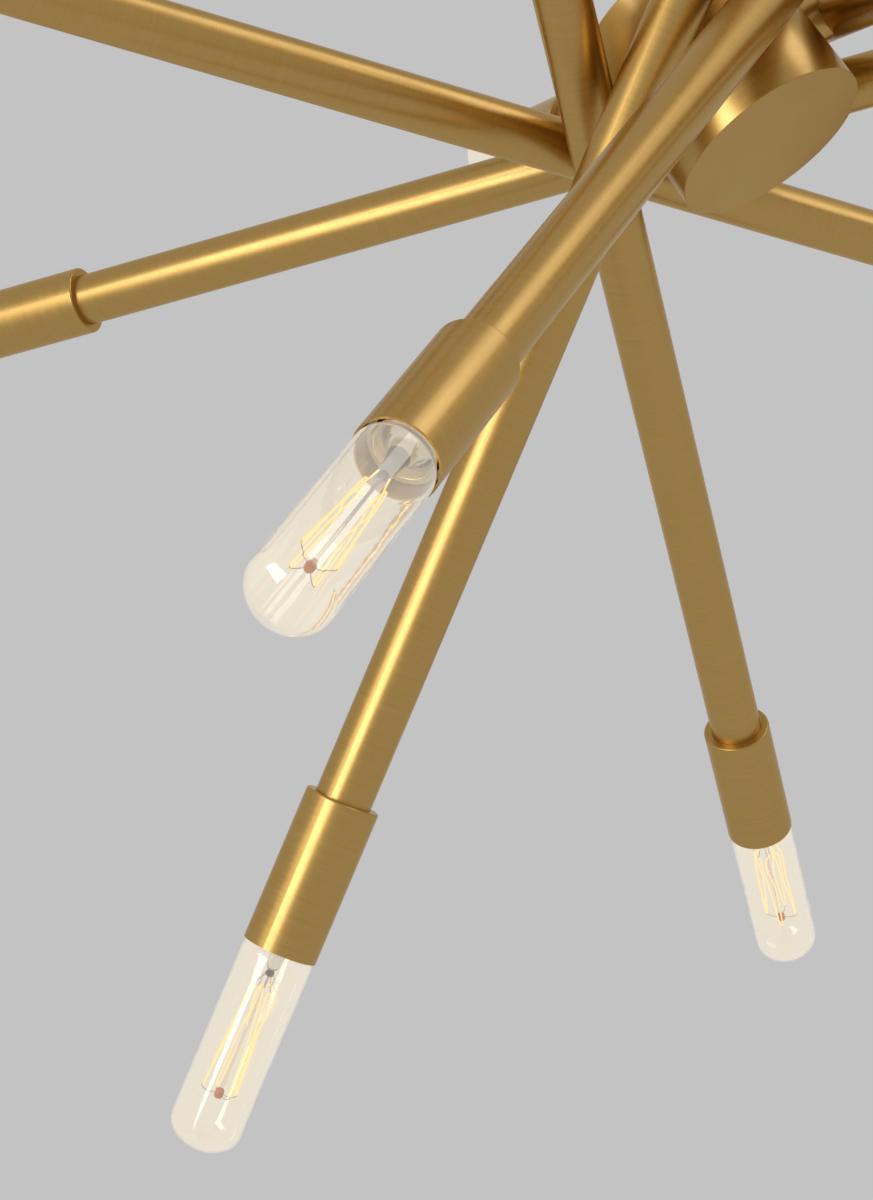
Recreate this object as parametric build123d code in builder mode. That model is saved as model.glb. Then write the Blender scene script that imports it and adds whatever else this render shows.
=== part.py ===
"""Sputnik chandelier: six straight brass tubes held tangent to a vertical drum, a lamp at each end.

Millimetres. The origin is at the ceiling, on the lamp's centre line, and +Z points up, so the whole
lamp hangs below Z = 0. Each tube is held at its middle by a short neck and leans out of level, so
that one end points down and the other up, all of them turning the same way round the drum.
"""

import os
from math import acos, cos, degrees, pi, radians, sin, sqrt

from build123d import *

os.makedirs("parts", exist_ok=True)

# ------------------------------------------------------------------ driving dimensions

running_clearance = 0.05        # on the radius, between a shaft and its bore
assembly_clearance = 0.1        # on the radius, between fixed pieces that are screwed together
moving_gap = 0.3                # between curved faces that move past each other

# ceiling plate
bar_length = 118.0
bar_width = 18.0
bar_thickness = 2.0
box_screw_spacing = 69.85       # the two screws of the ceiling box
box_screw_hole_radius = 2.4
stud_spacing = 100.0
stud_radius = 2.0
cap_nut_radius = 5.0
cap_nut_height = 8.0
cap_nut_edge = 2.0
cap_nut_depth = 5.5             # how far the stud reaches into its cap nut

# canopy
canopy_radius = 65.0
canopy_depth = 25.0
canopy_wall = 1.2
canopy_edge = 5.0               # rounding between the canopy's face and its side

# hang-straight swivel
ball_radius = 12.0
ball_above_face = 5.0           # ball centre above the canopy's outer face
ring_thickness = 0.7
seat_angle = 60.0               # the seat's lower lip, as an angle from straight down
collar_radius = 16.0
collar_flange_radius = 21.0
collar_flange_thickness = 2.0
collar_below_ball = 8.0
lead_bore_radius = 3.3
nipple_radius = 4.8
nipple_reach = 34.0             # from the ball centre down to the nipple's end

# stems
stem_radius = 6.35
stem_top_drop = 16.0            # from the ball centre down to the upper stem
upper_stem_length = 304.8
lower_stem_length = 152.4
coupling_radius = 7.5
coupling_height = 6.0
coupling_reach = 15.0           # how far its spigots go into each stem
foot_radius = 10.0
foot_height = 12.0
foot_edge = 2.0
foot_socket = 14.0              # how far the drum's centre rod goes into the lower stem

# drum
drum_radius = 46.0
drum_height = 80.5
drum_wall = 1.5
drum_cap_thickness = 3.0
drum_cap_spigot = 6.0
drum_edge = 0.5
neck_level = 43.5               # the necks' height above the drum's bottom face
boss_radius = 9.0
boss_height = 14.0
rod_nut_across_flats = 16.0
rod_nut_thickness = 5.0
lead_slot_radius = 2.5          # the slot in the centre rod that the leads come out of
lead_slot_length = 12.0

# arms, numbered from the +X side and counted towards +Y
arm_turns = (0.0, 60.0, 120.0, 180.0, 240.0, 300.0)
arm_tilts = (28.4, 25.8, 27.8, 30.0, 30.0, 27.4)    # each arm as it was set when it was tightened
tube_radius = 12.7
tube_wall = 1.2
tube_to_drum = 6.7              # the part of a neck that shows between drum and tube
neck_radius = 10.5
neck_spigot_radius = 5.0
neck_spigot_in_tube = 2.0
neck_nut_across_flats = 14.0
neck_nut_thickness = 4.0
neck_thread_spare = 2.0

# lampholders, measured along the tube from its middle
shoulder_reach = 360.0
cup_length = 70.7
cup_radius = 16.75
cup_wall = 0.9
cup_base = 6.0
cup_edge = 1.0
tube_seat = 3.0                 # how far the tube stands in the cup's base
plug_length = 8.0
holder_radius = 15.2
holder_length = 56.0
holder_floor = 26.0             # from the holder's back to the floor of its socket
lead_room_radius = 9.0
lead_room_depth = 8.0
liner_wall = 0.4
contact_radius = 3.0
contact_taper = 15.0            # degrees
lead_radius = 1.1
lead_bend = 10.0
lead_spacing = 2.8
lead_tail = 4.0                 # bare of the neck, inside the drum

# lamp: a 32 mm tubular lamp on a 26 mm screw base
lamp_length = 127.0
lamp_beyond_cup = 94.3
lamp_radius = 16.1
lamp_neck_radius = 11.9
glass_wall = 0.8
base_radius = 12.95
base_length = 26.0
base_wall = 0.45
thread_depth = 0.5
thread_turns = 5
tip_radius = 4.8
tip_height = 2.0
insulator_height = 4.0
neck_in_base = 8.0
shoulder_length = 19.0
crown_radius = 20.0             # the lamp's rounded end, and the rounding between it and the barrel
crown_edge = 10.0
stem_tube_radius = 3.0
stem_tube_length = 20.0
stem_rod_radius = 0.8
bead_radius = 1.8
bead_length = 4.5
bead_to_tip = 22.0
filament_radius = 0.3
filament_strands = 8
filament_inner_radius = 4.2
filament_outer_radius = 9.0
filament_bend = 0.7

# ------------------------------------------------------------------ places worked out from them

ball_level = -canopy_depth + ball_above_face
upper_stem_top = ball_level - stem_top_drop
coupling_top = upper_stem_top - upper_stem_length
lower_stem_top = coupling_top - coupling_height
foot_top = lower_stem_top - lower_stem_length
drum_top = foot_top - foot_height
drum_bottom = drum_top - drum_height
neck_height = drum_bottom + neck_level
stem_bore_radius = nipple_radius + running_clearance
drum_bore_radius = drum_radius - drum_wall
tube_bore_radius = tube_radius - tube_wall
waist_radius = drum_radius + tube_to_drum + tube_radius

cup_mouth = shoulder_reach + cup_length
holder_back = shoulder_reach + cup_base
tube_end = shoulder_reach + tube_seat
liner_radius = base_radius + moving_gap + liner_wall
lamp_tip = cup_mouth + lamp_beyond_cup
lamp_back = lamp_tip - lamp_length
base_end = lamp_back + base_length
holder_socket = holder_back + holder_floor


def write(piece, node):
    """Label one finished piece and write its STEP file."""
    piece.label = node
    export_step(piece, f"parts/{node}.step")


def ring_of(inner, outer, low, high):
    """A plain tube about Z between two heights, for use inside a BuildPart block."""
    with BuildSketch(Plane.XY.offset(low)) as profile:
        Circle(outer)
        Circle(inner, mode=Mode.SUBTRACT)
    extrude(profile.sketch, amount=high - low)


def hex_nut(across_flats, bore, low, thickness):
    """A hexagon nut about Z, for use inside a BuildPart block."""
    with BuildSketch(Plane.XY.offset(low)) as profile:
        RegularPolygon(radius=across_flats / 2, side_count=6, major_radius=False)
        Circle(bore, mode=Mode.SUBTRACT)
    extrude(profile.sketch, amount=thickness)


# ------------------------------------------------------------------ ceiling plate and its fixings

with BuildPart() as crossbar:
    with BuildSketch(Plane.XY.offset(-bar_thickness)):
        RectangleRounded(bar_length, bar_width, bar_width / 4)
        Circle(collar_radius / 2, mode=Mode.SUBTRACT)
        with Locations((-box_screw_spacing / 2, 0), (box_screw_spacing / 2, 0)):
            Circle(box_screw_hole_radius, mode=Mode.SUBTRACT)
        with Locations((-stud_spacing / 2, 0), (stud_spacing / 2, 0)):
            Circle(stud_radius + assembly_clearance, mode=Mode.SUBTRACT)
    extrude(amount=bar_thickness)
write(crossbar.part, "crossbar")

with BuildPart() as canopy_studs:
    stud_foot = -canopy_depth - cap_nut_depth
    with BuildSketch(Plane.XY.offset(stud_foot)):
        with Locations((-stud_spacing / 2, 0), (stud_spacing / 2, 0)):
            Circle(stud_radius)
    extrude(amount=-stud_foot)
    with BuildSketch(Plane.XY.offset(-bar_thickness - cap_nut_depth / 2)):
        with Locations((-stud_spacing / 2, 0), (stud_spacing / 2, 0)):
            RegularPolygon(radius=stud_radius * 1.75, side_count=6, major_radius=False)
    extrude(amount=cap_nut_depth / 2)
write(canopy_studs.part, "canopy_studs")

with BuildPart() as canopy_cap_nut:
    with BuildSketch(Plane.XY.offset(-canopy_depth - cap_nut_height)):
        Circle(cap_nut_radius)
    extrude(amount=cap_nut_height)
    fillet(canopy_cap_nut.edges().group_by(Axis.Z)[0], cap_nut_edge)
    with BuildSketch(Plane.XY.offset(-canopy_depth - cap_nut_depth - assembly_clearance)):
        Circle(stud_radius + assembly_clearance)
    extrude(amount=cap_nut_depth + assembly_clearance, mode=Mode.SUBTRACT)

with BuildPart() as canopy_cap_nuts:
    with Locations((-stud_spacing / 2, 0, 0), (stud_spacing / 2, 0, 0)):
        add(canopy_cap_nut.part)
write(canopy_cap_nuts.part, "canopy_cap_nuts")

with BuildPart() as canopy:
    with BuildSketch(Plane.XY.offset(-canopy_depth)):
        Circle(canopy_radius)
    extrude(amount=canopy_depth)
    fillet(canopy.edges().group_by(Axis.Z)[0], canopy_edge)
    offset(amount=-canopy_wall, openings=canopy.faces().sort_by(Axis.Z)[-1])
    with BuildSketch(Plane.XY.offset(-canopy_depth)):
        Circle(collar_radius + assembly_clearance)
        with Locations((-stud_spacing / 2, 0), (stud_spacing / 2, 0)):
            Circle(stud_radius + assembly_clearance)
    extrude(amount=2 * canopy_wall, mode=Mode.SUBTRACT)
write(canopy.part, "canopy")

# ------------------------------------------------------------------ hang-straight swivel

ring_inner = ball_radius + moving_gap
ring_outer = ring_inner + ring_thickness
seat_radius = ring_outer + moving_gap
flange_low = -canopy_depth + canopy_wall
lip_radius = seat_radius * sin(radians(seat_angle))

with BuildPart() as swivel_collar:
    with BuildSketch(Plane.XY.offset(flange_low)):
        Circle(collar_flange_radius)
    extrude(amount=collar_flange_thickness)
    with BuildSketch(Plane.XY.offset(ball_level - collar_below_ball)):
        Circle(collar_radius)
    extrude(amount=collar_below_ball)
    with Locations((0, 0, ball_level)):
        Sphere(seat_radius, mode=Mode.SUBTRACT)
    with BuildSketch(Plane.XY.offset(ball_level - collar_below_ball)):
        Circle(lip_radius)
    extrude(amount=collar_below_ball, mode=Mode.SUBTRACT)
write(swivel_collar.part, "swivel_collar")

with BuildPart() as swivel_ring:
    with Locations((0, 0, ball_level)):
        Sphere(ring_outer)
        Sphere(ring_inner, mode=Mode.SUBTRACT)
    ring_low = ball_level - ring_outer * cos(radians(seat_angle))
    split(bisect_by=Plane.XY.offset(ring_low), keep=Keep.TOP)
    split(bisect_by=Plane.XY.offset(ball_level), keep=Keep.BOTTOM)
write(swivel_ring.part, "swivel_ring")

with BuildPart() as swivel_ball:
    with Locations((0, 0, ball_level)):
        Sphere(ball_radius)
    with BuildSketch(Plane.XY.offset(ball_level - nipple_reach)):
        Circle(nipple_radius)
    extrude(amount=nipple_reach)
    with BuildSketch(Plane.XY.offset(ball_level - nipple_reach)):
        Circle(lead_bore_radius)
    extrude(amount=nipple_reach + ball_radius, mode=Mode.SUBTRACT)
write(swivel_ball.part, "swivel_ball")

# ------------------------------------------------------------------ stems

with BuildPart() as stem_upper:
    ring_of(stem_bore_radius, stem_radius, coupling_top, upper_stem_top)
write(stem_upper.part, "stem_upper")

with BuildPart() as stem_coupling:
    ring_of(lead_bore_radius, coupling_radius, lower_stem_top, coupling_top)
    chamfer(stem_coupling.edges().filter_by(GeomType.CIRCLE).group_by(SortBy.RADIUS)[-1], drum_edge)
    ring_of(lead_bore_radius, nipple_radius, lower_stem_top - coupling_reach, coupling_top + coupling_reach)
write(stem_coupling.part, "stem_coupling")

with BuildPart() as stem_lower:
    ring_of(stem_bore_radius, stem_radius, foot_top, lower_stem_top)
write(stem_lower.part, "stem_lower")

with BuildPart() as stem_foot:
    ring_of(nipple_radius + assembly_clearance, foot_radius, drum_top, foot_top)
    fillet(stem_foot.edges().group_by(Axis.Z)[-1].sort_by(SortBy.RADIUS)[-1], foot_edge)
write(stem_foot.part, "stem_foot")

# ------------------------------------------------------------------ drum

shell_low = drum_bottom + drum_cap_thickness
shell_high = drum_top - drum_cap_thickness
spigot_radius = drum_bore_radius - assembly_clearance
boss_top = shell_low + boss_height

with BuildPart() as drum_bottom_cap:
    with BuildSketch(Plane.XY.offset(drum_bottom)):
        Circle(drum_radius)
    extrude(amount=drum_cap_thickness)
    fillet(drum_bottom_cap.edges().group_by(Axis.Z)[0], drum_edge)
    ring_of(spigot_radius - drum_cap_thickness, spigot_radius, shell_low, shell_low + drum_cap_spigot)
    with BuildSketch(Plane.XY.offset(shell_low)):
        Circle(boss_radius)
    extrude(amount=boss_height)
    with BuildSketch(Plane.XY.offset(shell_low)):
        Circle(nipple_radius + running_clearance)
    extrude(amount=boss_height, mode=Mode.SUBTRACT)
write(drum_bottom_cap.part, "drum_bottom_cap")

with BuildPart() as drum_top_cap:
    ring_of(nipple_radius + assembly_clearance, drum_radius, shell_high, drum_top)
    fillet(drum_top_cap.edges().group_by(Axis.Z)[-1].sort_by(SortBy.RADIUS)[-1], drum_edge)
    ring_of(spigot_radius - drum_cap_thickness, spigot_radius, shell_high - drum_cap_spigot, shell_high)
write(drum_top_cap.part, "drum_top_cap")

with BuildPart() as centre_rod:
    ring_of(lead_bore_radius, nipple_radius, shell_low, foot_top + foot_socket)
    with BuildSketch(Plane.XZ.offset(-nipple_radius)):
        with Locations((0, neck_height)):
            SlotOverall(2 * lead_slot_radius + lead_slot_length, 2 * lead_slot_radius, rotation=90)
    extrude(amount=2 * nipple_radius, mode=Mode.SUBTRACT)
write(centre_rod.part, "centre_rod")

with BuildPart() as rod_nut:
    hex_nut(
        rod_nut_across_flats,
        nipple_radius + assembly_clearance,
        shell_high - rod_nut_thickness,
        rod_nut_thickness,
    )
write(rod_nut.part, "rod_nut")

# ------------------------------------------------------------------ where the arms lie

# An arm's plane has its origin at the tube's middle, X straight out from the drum and Z along the
# tube towards its lower end. An end's plane is the same, with Z towards that end.


def arm_plane(turn, tilt):
    """The plane of the arm that stands at one turn round the drum and leans by one tilt."""
    outward = Vector(cos(radians(turn)), sin(radians(turn)), 0)
    level = Vector(sin(radians(turn)), -cos(radians(turn)), 0)
    down_end = level * cos(radians(tilt)) - Vector(0, 0, sin(radians(tilt)))
    middle = outward * waist_radius + Vector(0, 0, neck_height)
    return Plane(origin=middle, x_dir=outward, z_dir=down_end)


def other_end(plane):
    """The same plane, looking along the tube's upper half."""
    return Plane(origin=plane.origin, x_dir=plane.x_dir, z_dir=-plane.z_dir)


def neck_plane(plane):
    """A plane square to an arm's neck, on the drum's centre line, with Z straight out."""
    return Plane(origin=(0, 0, neck_height), x_dir=plane.z_dir, z_dir=plane.x_dir)


arms = [arm_plane(turn, tilt) for turn, tilt in zip(arm_turns, arm_tilts)]
necks = [neck_plane(arm) for arm in arms]
ends = [end for arm in arms for end in (arm, other_end(arm))]

with BuildPart() as drum_shell:
    ring_of(drum_bore_radius, drum_radius, shell_low, shell_high)
    for neck in necks:
        with BuildSketch(neck):
            Circle(neck_spigot_radius + assembly_clearance)
        extrude(amount=drum_radius + neck_radius, mode=Mode.SUBTRACT)
write(drum_shell.part, "drum_shell")

# ------------------------------------------------------------------ necks, with a hollow spigot at each end

nut_corner_radius = neck_nut_across_flats / 2 / cos(pi / 6)
nut_seat = sqrt(drum_bore_radius**2 - nut_corner_radius**2) - running_clearance
spigot_start = nut_seat - neck_nut_thickness - neck_thread_spare
spigot_end = waist_radius - tube_bore_radius + neck_spigot_in_tube

with BuildPart() as arm_necks:
    for neck in necks:
        with BuildSketch(neck):
            Circle(neck_radius)
        extrude(amount=waist_radius)
    with BuildSketch(Plane.XY.offset(drum_bottom)):
        Circle(drum_radius)
    extrude(amount=drum_height, mode=Mode.SUBTRACT)
    for arm in arms:
        with BuildSketch(arm.offset(-2 * neck_radius)):
            Circle(tube_radius)
        extrude(amount=4 * neck_radius, mode=Mode.SUBTRACT)
    for neck in necks:
        with BuildSketch(neck.offset(spigot_start)):
            Circle(neck_spigot_radius)
        extrude(amount=spigot_end - spigot_start)
        with BuildSketch(neck.offset(spigot_start)):
            Circle(lead_bore_radius)
        extrude(amount=spigot_end - spigot_start, mode=Mode.SUBTRACT)
write(arm_necks.part, "arm_necks")

with BuildPart() as neck_nut:
    hex_nut(
        neck_nut_across_flats,
        neck_spigot_radius + assembly_clearance,
        nut_seat - neck_nut_thickness,
        neck_nut_thickness,
    )

with BuildPart() as neck_nuts:
    with Locations(*necks):
        add(neck_nut.part)
write(neck_nuts.part, "neck_nuts")

# ------------------------------------------------------------------ arm tubes, plugs and nipples

with BuildPart() as arm_tube:
    ring_of(tube_bore_radius, tube_radius, -tube_end, tube_end)
    with BuildSketch(Plane.YZ):
        Circle(neck_spigot_radius + assembly_clearance)
    extrude(amount=-2 * tube_radius, mode=Mode.SUBTRACT)

for number, arm in enumerate(arms, start=1):
    with BuildPart() as placed_tube:
        with Locations(arm):
            add(arm_tube.part)
    write(placed_tube.part, f"arm_tube_{number}")

with BuildPart() as end_plug:
    ring_of(
        nipple_radius + running_clearance,
        tube_bore_radius - assembly_clearance,
        tube_end - plug_length,
        tube_end,
    )

with BuildPart() as tube_end_plugs:
    with Locations(*ends):
        add(end_plug.part)
write(tube_end_plugs.part, "tube_end_plugs")

with BuildPart() as holder_nipple:
    ring_of(lead_bore_radius, nipple_radius, tube_end - plug_length, holder_back + cup_base)

with BuildPart() as holder_nipples:
    with Locations(*ends):
        add(holder_nipple.part)
write(holder_nipples.part, "holder_nipples")

# ------------------------------------------------------------------ cups, lampholders and their liners

with BuildPart() as cup:
    with BuildSketch(Plane.XY.offset(shoulder_reach)):
        Circle(cup_radius)
    extrude(amount=cup_length)
    fillet(cup.edges().group_by(Axis.Z)[0], cup_edge)
    for bore, low, high in (
        (nipple_radius + assembly_clearance, shoulder_reach, holder_back),
        (tube_radius + assembly_clearance, shoulder_reach, tube_end),
        (cup_radius - cup_wall, holder_back, cup_mouth),
    ):
        with BuildSketch(Plane.XY.offset(low)):
            Circle(bore)
        extrude(amount=high - low, mode=Mode.SUBTRACT)

for number, arm in enumerate(arms, start=1):
    with BuildPart() as cup_pair:
        with Locations(arm, other_end(arm)):
            add(cup.part)
    write(cup_pair.part, f"cups_arm_{number}")

with BuildPart() as lampholder:
    with BuildSketch(Plane.XY.offset(holder_back)):
        Circle(holder_radius)
    extrude(amount=holder_length)
    for bore, low, high in (
        (nipple_radius + assembly_clearance, holder_back, holder_back + cup_base),
        (lead_room_radius, holder_back + cup_base, holder_back + cup_base + lead_room_depth),
        (liner_radius + running_clearance, holder_socket, holder_back + holder_length),
    ):
        with BuildSketch(Plane.XY.offset(low)):
            Circle(bore)
        extrude(amount=high - low, mode=Mode.SUBTRACT)

with BuildPart() as lampholders:
    with Locations(*ends):
        add(lampholder.part)
write(lampholders.part, "lampholders")

with BuildPart() as liner_and_contact:
    ring_of(liner_radius - liner_wall, liner_radius, holder_socket, holder_back + holder_length)
    with BuildSketch(Plane.XY.offset(holder_socket)):
        Circle(contact_radius)
    extrude(amount=lamp_back - holder_socket - moving_gap, taper=contact_taper)

with BuildPart() as holder_liners:
    with Locations(*ends):
        add(liner_and_contact.part)
write(holder_liners.part, "holder_liners")

# Each lead comes out of the drum through its neck, turns into the tube and ends in the lampholder.
lead_start = waist_radius - spigot_start + lead_tail
lead_end = holder_back + cup_base + lead_room_depth - lead_radius

with BuildPart() as lead:
    with BuildLine() as lead_route:
        FilletPolyline(
            (-lead_start, lead_spacing / 2, 0),
            (0, lead_spacing / 2, 0),
            (0, lead_spacing / 2, lead_end),
            radius=lead_bend,
        )
    with BuildSketch(Plane.YZ.offset(-lead_start)):
        with Locations((lead_spacing / 2, 0)):
            Circle(lead_radius)
    sweep(path=lead_route.line)

with BuildPart() as arm_leads:
    with Locations(*ends):
        add(lead.part)
write(arm_leads.part, "arm_leads")

# ------------------------------------------------------------------ lamps

barrel_start = base_end + shoulder_length
crown_angle = degrees(acos((lamp_radius - crown_edge) / (crown_radius - crown_edge)))
edge_level = lamp_tip - crown_radius + (crown_radius - crown_edge) * sin(radians(crown_angle))
neck_start = base_end - neck_in_base

with BuildPart() as glass:
    for inset, mode in ((0, Mode.ADD), (glass_wall, Mode.SUBTRACT)):
        with BuildSketch(Plane.XZ):
            with BuildLine():
                neck = lamp_neck_radius - inset
                barrel = lamp_radius - inset
                Polyline((0, neck_start), (neck, neck_start), (neck, base_end))
                Spline((neck, base_end), (barrel, barrel_start), tangents=((0, 1), (0, 1)))
                Line((barrel, barrel_start), (barrel, edge_level))
                CenterArc((lamp_radius - crown_edge, edge_level), crown_edge - inset, 0, crown_angle)
                CenterArc((0, lamp_tip - crown_radius), crown_radius - inset, crown_angle, 90 - crown_angle)
                Line((0, lamp_tip - inset), (0, neck_start))
            make_face()
        revolve(axis=Axis.Z, mode=mode)

thread_root = base_radius - thread_depth
shell_bore = thread_root - base_wall
shell_start = lamp_back + tip_height + insulator_height / 2
thread_pitch = (base_end - shell_start) / (thread_turns + 1)

with BuildPart() as screw_shell:
    with BuildSketch(Plane.XZ):
        with BuildLine():
            crests = []
            for turn in range(thread_turns):
                level = shell_start + (turn + 0.5) * thread_pitch
                crests += [(thread_root, level), (base_radius, level + thread_pitch / 2)]
            Polyline(
                (shell_bore, shell_start),
                (thread_root, shell_start),
                *crests,
                (thread_root, base_end - thread_pitch / 2),
                (thread_root, base_end),
                (shell_bore, base_end),
                (shell_bore, shell_start),
            )
        make_face()
    revolve(axis=Axis.Z)

with BuildPart() as insulator:
    with BuildSketch(Plane.XZ):
        with BuildLine():
            Polyline(
                (0, lamp_back + tip_height + running_clearance),
                (tip_radius, lamp_back + tip_height + running_clearance),
                (shell_bore - running_clearance, shell_start),
                (shell_bore - running_clearance, shell_start + insulator_height),
                (0, shell_start + insulator_height),
                (0, lamp_back + tip_height + running_clearance),
            )
        make_face()
    revolve(axis=Axis.Z)

with BuildPart() as lamp_contact:
    with BuildSketch(Plane.XY.offset(lamp_back)):
        Circle(tip_radius)
    extrude(amount=tip_height)
    fillet(lamp_contact.edges().group_by(Axis.Z)[0], tip_height / 2)

flare_radius = lamp_neck_radius - glass_wall - running_clearance
flare_top = base_end + thread_pitch
stem_top = flare_top + stem_tube_length
bead_top = lamp_tip - bead_to_tip

with BuildPart() as glass_stem:
    with BuildSketch(Plane.XZ):
        with BuildLine():
            Polyline(
                (0, neck_start),
                (flare_radius, neck_start),
                (flare_radius, neck_start + glass_wall),
                (stem_tube_radius, flare_top),
                (stem_tube_radius, stem_top),
                (stem_rod_radius, stem_top + stem_tube_radius),
                (stem_rod_radius, bead_top - bead_length),
                (bead_radius, bead_top - bead_length + bead_radius - stem_rod_radius),
                (bead_radius, bead_top),
                (0, bead_top),
                (0, neck_start),
            )
        make_face()
    revolve(axis=Axis.Z)

with BuildPart() as filament:
    cage = []
    for strand in range(filament_strands + 1):
        angle = 2 * pi * strand / (filament_strands + 1)
        at_far_end = strand % 2
        reach = filament_outer_radius if at_far_end else filament_inner_radius
        level = bead_top - bead_length if at_far_end else stem_top - stem_tube_radius
        cage.append((reach * cos(angle), reach * sin(angle), level))
    with BuildLine() as filament_route:
        FilletPolyline(*cage, radius=filament_bend)
    with BuildSketch(Plane(origin=cage[0], z_dir=Vector(*cage[1]) - Vector(*cage[0]))):
        Circle(filament_radius)
    sweep(path=filament_route.line)

lamp_inside = [screw_shell.part, insulator.part, lamp_contact.part, glass_stem.part, filament.part]

for number, arm in enumerate(arms, start=1):
    for side, end in (("low", arm), ("high", other_end(arm))):
        with BuildPart() as lamp_glass:
            with Locations(end):
                add(glass.part)
        write(lamp_glass.part, f"bulb_glass_{number}_{side}")
        with BuildPart() as lamp_base:
            with Locations(end):
                for piece in lamp_inside:
                    add(piece)
        write(lamp_base.part, f"bulb_base_{number}_{side}")
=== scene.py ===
"""Looks of a sputnik chandelier in satin brushed brass, with clear tubular filament lamps.

Everything is in metres in the chandelier's own frame: the origin is at the ceiling on its centre
line, and +Z points up. The tubes, cups, drum, stems and canopy keep their own solids and get their
finishes here. One lamp is modelled here and copied to the twelve ends.
"""

from math import atan2, cos, pi, radians, sin, sqrt

import bpy
from mathutils import Matrix, Vector


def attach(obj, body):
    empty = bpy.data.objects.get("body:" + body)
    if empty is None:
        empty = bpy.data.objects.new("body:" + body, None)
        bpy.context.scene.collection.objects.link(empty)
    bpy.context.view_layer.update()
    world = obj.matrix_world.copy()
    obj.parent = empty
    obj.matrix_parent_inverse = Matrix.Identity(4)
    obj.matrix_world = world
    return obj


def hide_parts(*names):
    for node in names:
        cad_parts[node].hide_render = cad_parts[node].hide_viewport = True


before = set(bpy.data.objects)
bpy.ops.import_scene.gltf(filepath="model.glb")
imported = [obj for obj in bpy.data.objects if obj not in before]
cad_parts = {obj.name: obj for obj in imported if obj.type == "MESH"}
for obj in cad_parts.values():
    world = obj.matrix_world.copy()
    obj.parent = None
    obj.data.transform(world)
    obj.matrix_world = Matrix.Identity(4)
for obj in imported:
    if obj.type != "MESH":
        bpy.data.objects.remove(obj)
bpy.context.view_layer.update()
scene = bpy.context.scene
scene.view_settings.view_transform = "Standard"

# ------------------------------------------------------------------ sizes, in metres and degrees

# Where the arms stand, as in the solids.
neck_height = -0.5482
waist_radius = 0.0654           # from the drum's centre line to a tube's own
arm_turns = (0.0, 60.0, 120.0, 180.0, 240.0, 300.0)
arm_tilts = (28.4, 25.8, 27.8, 30.0, 30.0, 27.4)

# A lamp, as in the solids. Its heights are counted along the arm, from the tube's middle.
lamp_tip = 0.525
lamp_back = 0.398
base_end = 0.424
neck_in_base = 0.008
neck_radius = 0.0119
barrel_radius = 0.0161
glass_wall = 0.0008
crown_radius = 0.020            # the rounded end, and the rounding between it and the barrel
crown_edge = 0.010
shell_start = lamp_back + 0.004
shell_radius = 0.01245
thread_depth = 0.0005
thread_pitch = 0.0036

# What is shaped here alone. The glass widens sooner than in the solids, to fill the cup's mouth.
barrel_start = 0.4345
shell_wall = 0.0004
shell_lip = 0.0006              # how far the shell draws in at its back end
thread_margins = (0.001, 0.0015)  # plain shell behind the thread and before it
thread_fade = 0.001             # over which the thread rises and dies away
stem_end = 0.4405               # of the tube that is pressed flat round the lead wires
bead_start = 0.4960
rod_end = 0.4985                # of the thin rod, inside the bead
near_height = 0.4475            # of the hooks at the button, and of those round the bead
far_height = 0.4975
hook_stagger = 0.002
near_hooks = [(0.0062, 20), (0.0034, 100), (0.0062, 175), (0.0034, 260), (0.0062, 335)]
far_hooks = [(0.0080, 55), (0.0080, 140), (0.0080, 215), (0.0080, 300)]
strand_bow = 0.0008             # how far a strand curves outward between its hooks
loop_width = 0.0005             # of the turn that a strand makes round a hook
loop_depth = 0.0008
filament_radius = 0.00030
hook_wire_radius = 0.00012

# ------------------------------------------------------------------ camera

# The camera stands low in front and to the left, looks up, and is rolled to the left, as in the
# photograph, so that the drum is at the top right and the tubes fan out from it.
camera_place = Vector((-0.58576, -1.22676, -1.16152))
camera_turn = 15.5125           # from +Y towards +X
camera_rise = 19.7273
camera_roll = -34.1065
picture_height = 24.0           # in millimetres, as the lens is
picture_lens = 65.67
nearest_seen = 0.05

turn, rise = radians(camera_turn), radians(camera_rise)
forward = Vector((sin(turn) * cos(rise), cos(turn) * cos(rise), sin(rise)))
camera_data = bpy.data.cameras.new("camera")
camera_data.sensor_fit = "VERTICAL"
camera_data.sensor_height = picture_height
camera_data.lens = picture_lens
camera_data.clip_start = nearest_seen
camera = bpy.data.objects.new("camera", camera_data)
scene.collection.objects.link(camera)
level = forward.to_track_quat("-Z", "Y").to_matrix().to_4x4()
roll = Matrix.Rotation(radians(camera_roll), 4, "Z")
camera.matrix_world = Matrix.Translation(camera_place) @ level @ roll
scene.camera = camera

# ------------------------------------------------------------------ placing and shaping


def end_frame(arm, side):
    """Where one end of an arm lies: Z along the tube to that end, X straight out from the drum."""
    turn, tilt = radians(arm_turns[arm - 1]), radians(arm_tilts[arm - 1])
    outward = Vector((cos(turn), sin(turn), 0))
    along = Vector((sin(turn) * cos(tilt), -cos(turn) * cos(tilt), -sin(tilt)))
    if side == "high":
        along = -along
    place = Matrix((outward, along.cross(outward), along)).transposed().to_4x4()
    place.translation = outward * waist_radius + Vector((0, 0, neck_height))
    return place


def polar(radius, bearing, height):
    """A point from its distance and bearing, in degrees, round Z."""
    angle = radians(bearing)
    return Vector((radius * cos(angle), radius * sin(angle), height))


def select_only(piece):
    """Make one piece the only selected one, and the active one."""
    bpy.ops.object.select_all(action="DESELECT")
    bpy.context.view_layer.objects.active = piece
    piece.select_set(True)


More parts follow.
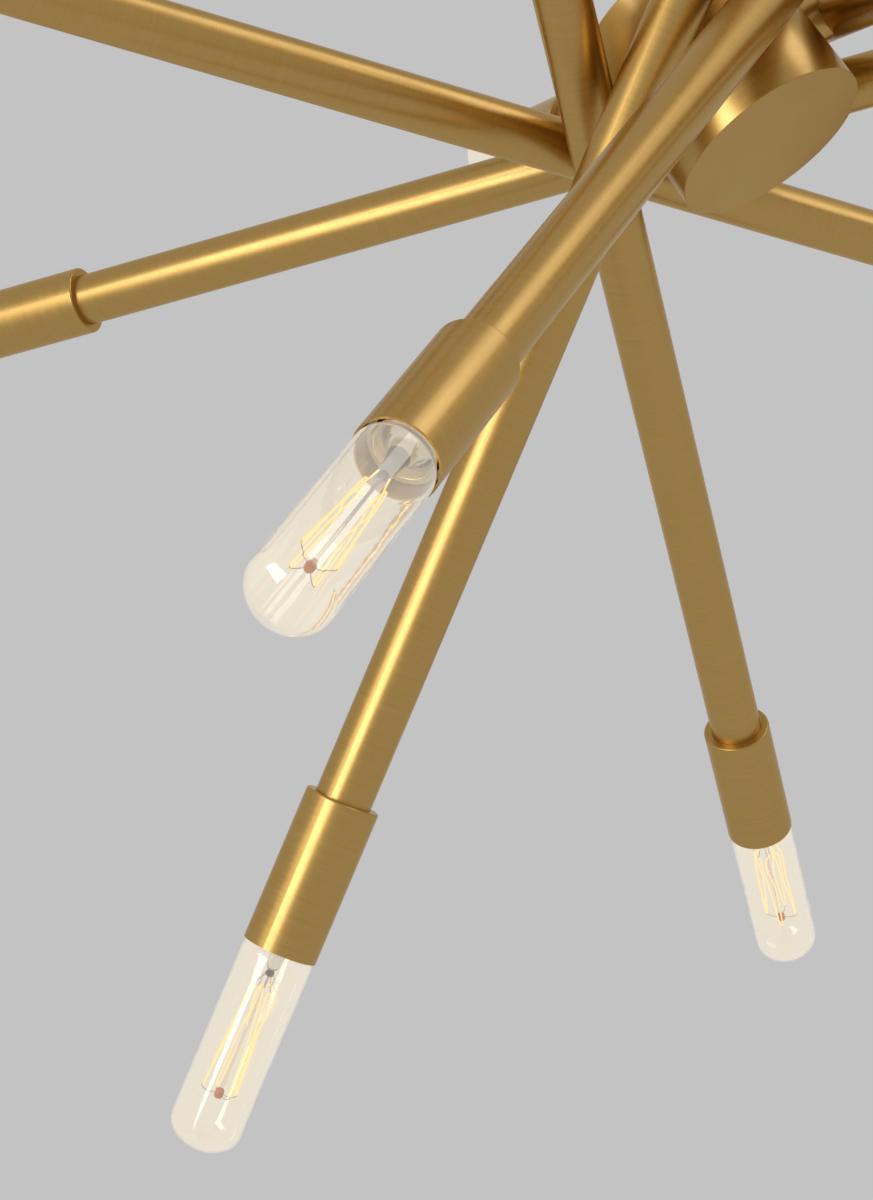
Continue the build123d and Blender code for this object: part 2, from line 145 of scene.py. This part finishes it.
def choose(piece, test):
    """Enter edit mode with only those vertices selected whose place passes the test."""
    select_only(piece)
    bpy.ops.object.mode_set(mode="EDIT")
    bpy.ops.mesh.select_mode(type="VERT")
    bpy.ops.mesh.select_all(action="DESELECT")
    bpy.ops.object.mode_set(mode="OBJECT")
    for vertex in piece.data.vertices:
        vertex.select = test(vertex.co)
    bpy.ops.object.mode_set(mode="EDIT")


def turned(name, material, rings, sides=64, closed=()):
    """A piece turned about Z as on a lathe: a circle extruded and scaled from ring to ring.

    rings are (radius, height) pairs, and closed lists the heights of the rings that get a face.
    """
    radius, height = rings[0]
    bpy.ops.object.select_all(action="DESELECT")
    bpy.ops.mesh.primitive_circle_add(vertices=sides, radius=radius, location=(0, 0, height))
    piece = bpy.context.object
    piece.name = piece.data.name = name
    bpy.ops.object.transform_apply(location=True, rotation=True, scale=True)
    bpy.ops.object.mode_set(mode="EDIT")
    bpy.ops.mesh.select_all(action="SELECT")
    for next_radius, next_height in rings[1:]:
        rise = (0, 0, next_height - height)
        bpy.ops.mesh.extrude_region_move(TRANSFORM_OT_translate={"value": rise})
        scale = next_radius / radius
        bpy.ops.transform.resize(value=(scale, scale, 1), center_override=(0, 0, next_height))
        radius, height = next_radius, next_height
    bpy.ops.object.mode_set(mode="OBJECT")
    for ring_height in closed:
        choose(piece, lambda place: abs(place.z - ring_height) < 1e-6)
        bpy.ops.mesh.edge_face_add()
        bpy.ops.object.mode_set(mode="OBJECT")
    choose(piece, lambda place: True)
    bpy.ops.mesh.normals_make_consistent(inside=False)
    bpy.ops.object.mode_set(mode="OBJECT")
    bpy.ops.object.shade_smooth_by_angle(angle=radians(35))
    paint(piece, material)
    return piece


def turned_from(level, name, material, rings, sides):
    """A turned piece closed at both ends, whose heights are counted from a level."""
    raised = [(radius, level + height) for radius, height in rings]
    return turned(name, material, raised, sides, closed=(raised[0][1], raised[-1][1]))


def wire(name, material, routes, radius):
    """Round wires along smooth routes, as one mesh."""
    curve = bpy.data.curves.new(name, "CURVE")
    curve.dimensions = "3D"
    curve.bevel_depth = radius
    curve.bevel_resolution = 3
    curve.resolution_u = 8
    curve.use_fill_caps = True
    for route in routes:
        spline = curve.splines.new("BEZIER")
        spline.bezier_points.add(len(route) - 1)
        for point, place in zip(spline.bezier_points, route):
            point.co = place
            point.handle_left_type = point.handle_right_type = "AUTO"
    piece = bpy.data.objects.new(name, curve)
    scene.collection.objects.link(piece)
    select_only(piece)
    bpy.ops.object.convert(target="MESH")
    piece = bpy.context.object
    bpy.ops.object.shade_smooth()
    paint(piece, material)
    return piece


def thicken(piece, thickness, **settings):
    """Give an open skin its wall, inwards."""
    select_only(piece)
    wall = piece.modifiers.new("wall", "SOLIDIFY")
    wall.thickness = thickness
    wall.offset = -1.0
    for name, value in settings.items():
        setattr(wall, name, value)
    bpy.ops.object.modifier_apply(modifier=wall.name)


def join(name, *pieces):
    """Several pieces as one object that keeps each one's material."""
    select_only(pieces[0])
    for piece in pieces[1:]:
        piece.select_set(True)
    bpy.ops.object.join()
    pieces[0].name = pieces[0].data.name = name
    return pieces[0]


def paint(piece, material):
    """Give a piece one material."""
    piece.data.materials.clear()
    piece.data.materials.append(material)


# ------------------------------------------------------------------ finishes


def colour(code, alpha=1.0):
    """A six-figure sRGB hex colour as linear values."""
    parts = [int(code[i:i + 2], 16) / 255 for i in (0, 2, 4)]
    linear = [part / 12.92 if part <= 0.04045 else ((part + 0.055) / 1.055) ** 2.4
              for part in parts]
    return (*linear, alpha)


def add_node(tree, kind, inputs=None, **settings):
    """Add one node; an input that is a socket is linked, and any other is a value."""
    made = tree.nodes.new(kind)
    for name, value in settings.items():
        setattr(made, name, value)
    for name, value in (inputs or {}).items():
        if isinstance(value, bpy.types.NodeSocket):
            tree.links.new(value, made.inputs[name])
        else:
            made.inputs[name].default_value = value
    return made


def new_material(name):
    """An empty material and its node tree."""
    made = bpy.data.materials.new(name)
    made.use_nodes = True
    made.node_tree.nodes.clear()
    return made, made.node_tree


def finish_material(tree, sockets):
    """The shader with its sockets, linked to the material's output."""
    shader = add_node(tree, "ShaderNodeBsdfPrincipled", sockets)
    add_node(tree, "ShaderNodeOutputMaterial", {"Surface": shader.outputs["BSDF"]})


def own_place(tree):
    """The piece's own coordinates."""
    return add_node(tree, "ShaderNodeTexCoord").outputs["Object"]


def noise(tree, place, scale, detail, roughness=0.5):
    """Cloudy values round one half, with features of about 1 / scale."""
    return add_node(tree, "ShaderNodeTexNoise", {
        "Vector": place, "Scale": scale, "Detail": detail, "Roughness": roughness,
    }).outputs["Fac"]


def stretch(tree, value, low, high):
    """A noise's usual range, stretched from low to high."""
    return add_node(tree, "ShaderNodeMapRange", {
        "Value": value, "From Min": 0.3, "From Max": 0.7, "To Min": low, "To Max": high,
    }).outputs["Result"]


def bump(tree, height, strength, distance):
    """The surface's direction, tilted by the slopes of a height."""
    return add_node(tree, "ShaderNodeBump", {
        "Height": height, "Strength": strength, "Distance": distance,
    }).outputs["Normal"]


def satin_brass(name, centre, direction):
    """Brass, brushed round its own axis with a fine abrasive band and lacquered.

    The brushing is fine rings that widen the highlights along the piece, and the lacquer adds a
    thin white gloss on top. Real grit lines are about 0.05 mm apart; here they are 0.5 mm, to show.
    """
    material, tree = new_material(name)
    place = own_place(tree)
    axis = Vector(direction).to_track_quat("Z", "Y").to_euler()
    rings = add_node(tree, "ShaderNodeMapping", {
        "Vector": place, "Location": centre, "Rotation": axis, "Scale": (0.035, 0.035, 0.0005),
    }, vector_type="TEXTURE").outputs["Vector"]
    grit = noise(tree, rings, 1.0, 2.0, 0.55)
    tone = add_node(tree, "ShaderNodeMix", {
        "Factor": grit, "A": colour("B88F45"), "B": colour("C8A35C"),
    }, data_type="RGBA").outputs["Result"]
    handled = stretch(tree, noise(tree, place, 45.0, 3.0), -0.02, 0.03)
    brushed = stretch(tree, grit, 0.29, 0.38)
    roughness = add_node(tree, "ShaderNodeMath", {0: brushed, 1: handled}, operation="ADD")
    finish_material(tree, {
        "Base Color": tone, "Metallic": 1.0, "Roughness": roughness.outputs[0],
        "Normal": bump(tree, grit, 0.12, 0.00004), "Specular Tint": colour("EBD3A0"),
        "Coat Weight": 0.6, "Coat Roughness": 0.2, "Coat IOR": 1.5,
    })
    return material


def plain_metal(name, base, roughness, speck=0.0008):
    """Machined or plated metal with a slight mottle of its plating."""
    material, tree = new_material(name)
    mottle = noise(tree, own_place(tree), 1 / speck, 3.0)
    finish_material(tree, {
        "Base Color": colour(base), "Metallic": 1.0,
        "Roughness": stretch(tree, mottle, roughness - 0.06, roughness + 0.06),
        "Normal": bump(tree, mottle, 0.1, 0.00003),
    })
    return material


def plain_solid(name, base, roughness, grain=0.0015):
    """Moulded plastic, porcelain or coloured glass: one colour, with a faintly uneven gloss."""
    material, tree = new_material(name)
    gloss = noise(tree, own_place(tree), 1 / grain, 4.0)
    finish_material(tree, {
        "Base Color": colour(base),
        "Roughness": stretch(tree, gloss, roughness - 0.05, roughness + 0.05),
    })
    return material


def clear_glass(name, base, ripples, depth, sockets):
    """Clear glass. ripples are their scale and detail, and depth their strength and distance."""
    material, tree = new_material(name)
    ripple = noise(tree, own_place(tree), *ripples)
    finish_material(tree, {
        "Base Color": colour(base), "Normal": bump(tree, ripple, *depth), **sockets,
    })
    return material


# Soda-lime lamp glass, blown in a mould: clear with a champagne tint from its metal-oxide coating.
# The wall's faint warm glow is painted light: a weak emission that stands in for the filament's
# light.
lamp_glass = clear_glass("champagne_lamp_glass_painted_glow", "FDF9F0", (90.0, 1.5), (0.12, 0.0006), {
    "Roughness": 0.02, "IOR": 1.5, "Transmission Weight": 1.0,
    # Painted glow: a weak warm emission on the glass wall, in place of the filament's light in it.
    "Emission Color": colour("FFF4E2"), "Emission Strength": 0.075,
})
# The mount inside the lamp is drawn lead glass, clear and colourless, with fine draw lines.
stem_glass = clear_glass("drawn_stem_glass", "F2F1EE", (260.0, 2.0), (0.3, 0.0004), {
    "Roughness": 0.08, "IOR": 1.52, "Transmission Weight": 0.85,
})
# The carbon filament glows a warm cream.
filament_glow, tree = new_material("glowing_filament")
finish_material(tree, {
    "Base Color": colour("3A2A1C"), "Roughness": 0.6,
    "Emission Color": colour("FFC374"), "Emission Strength": 1.45,
})
hook_metal = plain_metal("molybdenum_hook_wire", "6B5A48", 0.4)
bead_glass = plain_solid("amber_glass_bead", "C06C28", 0.15)
button_glass = plain_solid("brown_glass_button", "4A2F22", 0.2)
base_brass = plain_metal("rolled_base_brass", "D8C49A", 0.22)
solder = plain_metal("lead_free_solder", "B9BABC", 0.35, speck=0.0004)
vitrite = plain_solid("black_base_insulator", "17151A", 0.12)
zinc_steel = plain_metal("zinc_plated_steel", "B4B5B2", 0.33)

finishes = {
    "lampholders": plain_solid("glazed_holder_porcelain", "E9E5DC", 0.18),
    "holder_liners": plain_metal("pressed_liner_brass", "CDB684", 0.3),
    "arm_leads": plain_solid("lead_sleeve", "D8CFB4", 0.55),
}
for name in ("crossbar", "canopy_studs", "swivel_ring", "rod_nut", "neck_nuts", "centre_rod",
             "holder_nipples", "tube_end_plugs"):
    finishes[name] = zinc_steel
for arm in range(1, 7):
    place = end_frame(arm, "low")
    brass = satin_brass(f"satin_brass_arm_{arm}", place.translation, place.col[2].xyz)
    finishes[f"arm_tube_{arm}"] = finishes[f"cups_arm_{arm}"] = brass
upright_brass = satin_brass("satin_brass_upright", (0, 0, 0), (0, 0, 1))

for name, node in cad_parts.items():
    for material_slot in node.material_slots:
        material_slot.material = finishes.get(name, upright_brass)

# ------------------------------------------------------------------ one lamp, modelled on Z

# Glass: the neck, a smooth swell to the barrel, the rounded edge and the crown.
edge_centre = barrel_radius - crown_edge
crown_centre = lamp_tip - crown_radius
edge_room = crown_radius - crown_edge
crown_angle = atan2(sqrt(edge_room ** 2 - edge_centre ** 2), edge_centre)
edge_level = crown_centre + edge_room * sin(crown_angle)

outline = [(neck_radius, base_end - neck_in_base), (neck_radius, base_end)]
for step in range(1, 13):
    share = step / 12
    swell = share * share * (3 - 2 * share)
    outline.append((neck_radius + (barrel_radius - neck_radius) * swell,
                    base_end + (barrel_start - base_end) * share))
for step in range(1, 9):
    outline.append((barrel_radius, barrel_start + (edge_level - barrel_start) * step / 8))
for step in range(1, 11):
    angle = crown_angle * step / 10
    outline.append((edge_centre + crown_edge * cos(angle), edge_level + crown_edge * sin(angle)))
for step in range(1, 9):
    angle = crown_angle + (pi / 2 - crown_angle) * step / 8.4
    outline.append((crown_radius * cos(angle), crown_centre + crown_radius * sin(angle)))
glass = turned("lamp_glass", lamp_glass, outline, sides=96, closed=(outline[-1][1],))
thicken(glass, glass_wall, use_even_offset=True)
bpy.ops.object.shade_smooth_by_angle(angle=radians(50))

# Screw shell: a thin tube whose wall is rolled into a helix.
shell_steps = 44
shell_rings = [(shell_radius - shell_lip, shell_start)]
for step in range(1, shell_steps + 1):
    height = shell_start + (base_end - shell_start) * step / shell_steps
    shell_rings.append((shell_radius, height))
shell = turned("lamp_shell", base_brass, shell_rings)
for vertex in shell.data.vertices:
    low = vertex.co.z - shell_start
    into_thread = low - thread_margins[0]
    if into_thread > 0:
        left_of_thread = base_end - vertex.co.z - thread_margins[1]
        fade = min(1.0, into_thread / thread_fade, max(0.0, left_of_thread) / thread_fade)
        turns = low / thread_pitch
        wave = 0.5 - 0.5 * cos(2 * pi * turns - atan2(vertex.co.y, vertex.co.x))
        radius = sqrt(vertex.co.x ** 2 + vertex.co.y ** 2)
        scale = (radius + thread_depth * fade * wave) / radius
        vertex.co.x *= scale
        vertex.co.y *= scale
thicken(shell, shell_wall)

insulator = turned_from(lamp_back, "lamp_insulator", vitrite, [
    (0.0048, 0.0020), (0.0060, 0.0022), (0.0085, 0.0032), (0.0112, 0.0038), (0.0116, 0.0046),
    (0.0116, 0.0075),
], sides=48)
contact = turned_from(lamp_back, "lamp_contact", solder, [
    (0.0012, 0), (0.0028, 0.0003), (0.0041, 0.0009), (0.0047, 0.0016), (0.0048, 0.0021),
], sides=32)
base = join("lamp_base", shell, insulator, contact)

# The glass mount: a flared skirt that melts into the neck, a tube pressed flat round the lead
# wires, and a thin rod that ends in a bead. A button sits where the rod leaves the tube.
stem_height = stem_end - base_end
mount = turned_from(base_end, "lamp_mount", stem_glass, [
    (0.0108, -0.0078), (0.0107, -0.0065), (0.0092, -0.0035), (0.0068, 0.0005), (0.0048, 0.0040),
    (0.0037, 0.0075), (0.0032, 0.0110), (0.0030, stem_height - 0.0030),
    (0.0024, stem_height - 0.0012), (0.0012, stem_height), (0.0007, stem_height + 0.0010),
    (0.0007, rod_end - base_end),
], sides=48)
button = turned_from(stem_end, "lamp_button", button_glass, [
    (0.0009, -0.0002), (0.0016, 0.0001), (0.0020, 0.0008), (0.0020, 0.0018), (0.0015, 0.0025),
    (0.0008, 0.0028),
], sides=32)
bead = turned_from(bead_start, "lamp_bead", bead_glass, [
    (0.0008, 0), (0.0015, 0.0003), (0.0019, 0.0011), (0.0020, 0.0025), (0.0019, 0.0039),
    (0.0014, 0.0047), (0.0006, 0.0050),
], sides=32)
mount = join("lamp_mount", mount, button, bead)


def hook_height(index):
    """The height of a hook at the button: every other one stands a little higher."""
    return near_height + hook_stagger * (index % 2)


def strand_middle(start, end, outward):
    """The middle of a strand, which curves outward."""
    return start.lerp(end, 0.5) + Vector((outward.x, outward.y, 0)).normalized() * strand_bow


# The filament runs up and down between the hooks at the button and the hooks round the bead.
route = []
for index, (reach, bearing) in enumerate(near_hooks):
    hook = polar(reach, bearing, hook_height(index))
    if index:
        bend = polar(*far_hooks[index - 1], far_height)
        route.append(strand_middle(bend, hook, bend))
    route.append(hook)
    if index < len(far_hooks):
        bend = polar(*far_hooks[index], far_height)
        sideways = Vector((-bend.y, bend.x, 0)).normalized() * loop_width
        down = Vector((0, 0, loop_depth))
        route += [strand_middle(hook, bend, bend),
                  bend - sideways - down, bend, bend + sideways - down]
filament = wire("lamp_filament", filament_glow, [route], filament_radius)

hook_routes = []
for _, bearing in far_hooks:
    hook_routes.append([
        polar(0.0015, bearing, rod_end), polar(0.0045, bearing, rod_end + 0.0007),
        polar(0.0078, bearing, rod_end - 0.0001), polar(0.0086, bearing, rod_end - 0.0009),
        polar(0.0082, bearing, rod_end - 0.0015),
    ])
for index, (reach, bearing) in enumerate(near_hooks):
    height = hook_height(index)
    hook_routes.append([
        polar(0.0014, bearing, stem_end + 0.0014), polar(0.0026, bearing, stem_end + 0.0022),
        polar(reach - 0.0004, bearing, height - 0.001), polar(reach + 0.0003, bearing, height),
        polar(reach - 0.0001, bearing, height + 0.0006),
    ])
supports = wire("lamp_supports", hook_metal, hook_routes, hook_wire_radius)

# ------------------------------------------------------------------ the twelve lamps

masters = {"glass": (glass, "lamp_glass"), "base": (base, "lamp_base"),
           "mount": (mount, "lamp_base"), "filament": (filament, "lamp_base"),
           "supports": (supports, "lamp_base")}

for arm in range(1, 7):
    for side in ("low", "high"):
        for kind, (master, slot_name) in masters.items():
            piece = master.copy()
            piece.data = master.data.copy()
            piece.name = piece.data.name = f"lamp_{kind}_{arm}_{side}"
            scene.collection.objects.link(piece)
            piece.data.transform(end_frame(arm, side))
            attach(piece, f"bulb_{arm}_{side}")
            if kind == "glass":
                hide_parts(f"bulb_glass_{arm}_{side}")
            else:
                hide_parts(f"bulb_base_{arm}_{side}")
for master, _ in masters.values():
    bpy.data.objects.remove(master, do_unlink=True)

# ------------------------------------------------------------------ floor, backdrop and light

# The floor is far down, so that the chandelier can also be seen from below.
floor_level = -6.0
floor_radius = 60.0
bpy.ops.object.select_all(action="DESELECT")
bpy.ops.mesh.primitive_circle_add(
    vertices=96, radius=floor_radius, fill_type="NGON", location=(0, 0, floor_level))
floor = bpy.context.object
floor.name = "floor"
pale, tree = new_material("pale_floor")
finish_material(tree, {"Base Color": colour("E8E8E6"), "Roughness": 0.8})
paint(floor, pale)

# The camera, metal and glass see the grey backdrop, and everything else gets the fill.
world = bpy.data.worlds.new("studio")
scene.world = world
world.use_nodes = True
tree = world.node_tree
tree.nodes.clear()
rays = add_node(tree, "ShaderNodeLightPath").outputs
sharp = add_node(tree, "ShaderNodeMath", {
    0: rays["Is Camera Ray"], 1: rays["Is Glossy Ray"],
}, operation="MAXIMUM").outputs[0]
seen = add_node(tree, "ShaderNodeMath", {
    0: sharp, 1: rays["Is Transmission Ray"],
}, operation="MAXIMUM").outputs[0]
backdrop = add_node(tree, "ShaderNodeBackground", {"Color": colour("C3C3C3"), "Strength": 1.0})
fill = add_node(tree, "ShaderNodeBackground", {"Color": colour("F4F5F7"), "Strength": 0.75})
mixed = add_node(tree, "ShaderNodeMixShader", {
    0: seen, 1: fill.outputs[0], 2: backdrop.outputs[0],
})
add_node(tree, "ShaderNodeOutputWorld", {"Surface": mixed.outputs[0]})


def soft_box(name, place, target, width, height, watts):
    """A rectangular soft box that faces a point."""
    data = bpy.data.lights.new(name, "AREA")
    data.shape = "RECTANGLE"
    data.size, data.size_y = width, height
    data.energy = watts
    box = bpy.data.objects.new(name, data)
    scene.collection.objects.link(box)
    box.location = place
    facing = Vector(target) - Vector(place)
    box.rotation_euler = facing.to_track_quat("-Z", "Y").to_euler()


middle = (0, 0, -0.55)
soft_box("key_box", (-1.60, -1.45, -0.11), middle, 0.8, 1.5, 17)
soft_box("side_box", (1.85, -0.88, -0.13), middle, 0.9, 1.4, 6.5)
